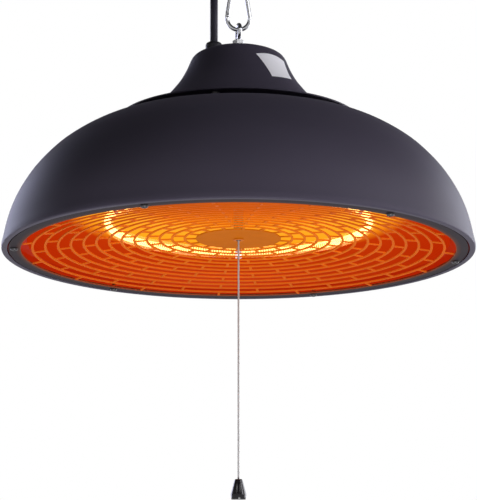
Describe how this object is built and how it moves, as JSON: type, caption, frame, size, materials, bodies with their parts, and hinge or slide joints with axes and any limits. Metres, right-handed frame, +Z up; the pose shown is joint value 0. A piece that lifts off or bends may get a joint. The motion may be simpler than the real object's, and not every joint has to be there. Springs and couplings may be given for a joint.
{
  "type": "hanging patio heater",
  "caption": "Domed hanging patio heater with a ring lamp behind a slotted guard, a flared cap, an eye bolt on a snap hook, a pull cord switch and a mains cord.",
  "frame": {"origin": "inside of the snap hook's top bend, where the load point of a bracket or hook in the ceiling sits", "axes": "+Z up along the heater's axis, +X along the flat of the snap hook to the right of someone who faces the cable gland's side in the picture, +Y away from that viewer"},
  "size_m": [0.425, 0.425, 0.4832],
  "materials": {
    "hook_steel": "bright zinc",
    "fastener_steel": "zinc plated",
    "dark_fastener": "blackened",
    "shade_paint": "satin black coating",
    "cap_paint": "satin black coating",
    "plate_paint": "satin black coating",
    "guard_paint": "heat resistant black coating",
    "cord_sheath": "smooth black sheath",
    "gland_plastic": "fine texture",
    "plug_rubber": "satin",
    "pin_metal": "nickel plated",
    "tie_strap": "woven strap",
    "reflector_metal": "polished",
    "shield_metal": "plain sheet",
    "quartz": "glowing",
    "ceramic": "unglazed ceramic",
    "lead_sleeve": "braided glass sleeve",
    "switch_plastic": "moulded",
    "plunger_plastic": "moulded",
    "guide_metal": "turned",
    "bush_plastic": "moulded",
    "pull_cord_fibre": "twisted",
    "knob_plastic": "polished"
  },
  "bodies": {
    "hook": {"snap_hook": "hook_steel", "snap_gate_pin": "hook_steel"},
    "gate": {"snap_gate": "hook_steel"},
    "heater": {"cable_gland": "gland_plastic", "cap_screw_1": "fastener_steel", "cap_screw_2": "fastener_steel", "cap_screw_3": "fastener_steel", "cord_bush": "bush_plastic", "cord_guide_tube": "guide_metal", "cord_tie": "tie_strap", "eye_bolt": "hook_steel", "eye_nut": "fastener_steel", "eye_washer": "fastener_steel", "gland_nut": "gland_plastic", "grille_guard": "guard_paint", "grille_screw_1": "dark_fastener", "grille_screw_2": "dark_fastener", "grille_screw_3": "dark_fastener", "grille_screw_4": "dark_fastener", "grille_screw_5": "dark_fastener", "grille_screw_6": "dark_fastener", "heat_shield": "shield_metal", "lamp_clip_1": "fastener_steel", "lamp_clip_2": "fastener_steel", "lamp_clip_3": "fastener_steel", "lamp_end_cap_1": "ceramic", "lamp_end_cap_2": "ceramic", "lamp_lead_1": "lead_sleeve", "lamp_lead_2": "lead_sleeve", "lamp_tube": "quartz", "load_washer": "fastener_steel", "lock_nut": "fastener_steel", "mains_cord": "cord_sheath", "mains_cord_coil": "cord_sheath", "mains_cord_tail": "cord_sheath", "plug_body": "plug_rubber", "plug_pin_1": "pin_metal", "plug_pin_2": "pin_metal", "reflector": "reflector_metal", "reflector_post_1": "fastener_steel", "reflector_post_2": "fastener_steel", "reflector_post_3": "fastener_steel", "return_spring": "fastener_steel", "rim_ring": "fastener_steel", "shade": "shade_paint", "switch_body": "switch_plastic", "top_cap": "cap_paint", "vent_plate": "plate_paint", "vent_rivet_1": "dark_fastener", "vent_rivet_2": "dark_fastener", "vent_rivet_3": "dark_fastener", "vent_rivet_4": "dark_fastener"},
    "switch_pull": {"switch_plunger": "plunger_plastic", "inner_pull_cord": "pull_cord_fibre"},
    "pull": {"pull_cord": "pull_cord_fibre", "pull_knob": "knob_plastic"}
  },
  "joints": [
    {"name": "gate_hinge", "type": "hinge", "parent": "hook", "child": "gate", "pos_m": [-0.007, 0, -0.01], "axis": [0, -1, 0], "range_deg": [0, 28], "stiffness_Nm_per_rad": 0.02, "springref_deg": -11.46},
    {"name": "heater_swing", "type": "hinge", "parent": "hook", "child": "heater", "pos_m": [0, 0, -0.044], "axis": [1, 0, 0], "range_deg": [-25, 25]},
    {"name": "switch_slide", "type": "slide", "parent": "heater", "child": "switch_pull", "axis": [0, 0, -1], "range_m": [0, 0.009], "stiffness_N_per_m": 350, "springref_m": -0.012, "deforming": ["return_spring"]},
    {"name": "pull_swing", "type": "hinge", "parent": "switch_pull", "child": "pull", "pos_m": [0, 0, -0.2454], "axis": [1, 0, 0], "range_deg": [-20, 20]}
  ]
}
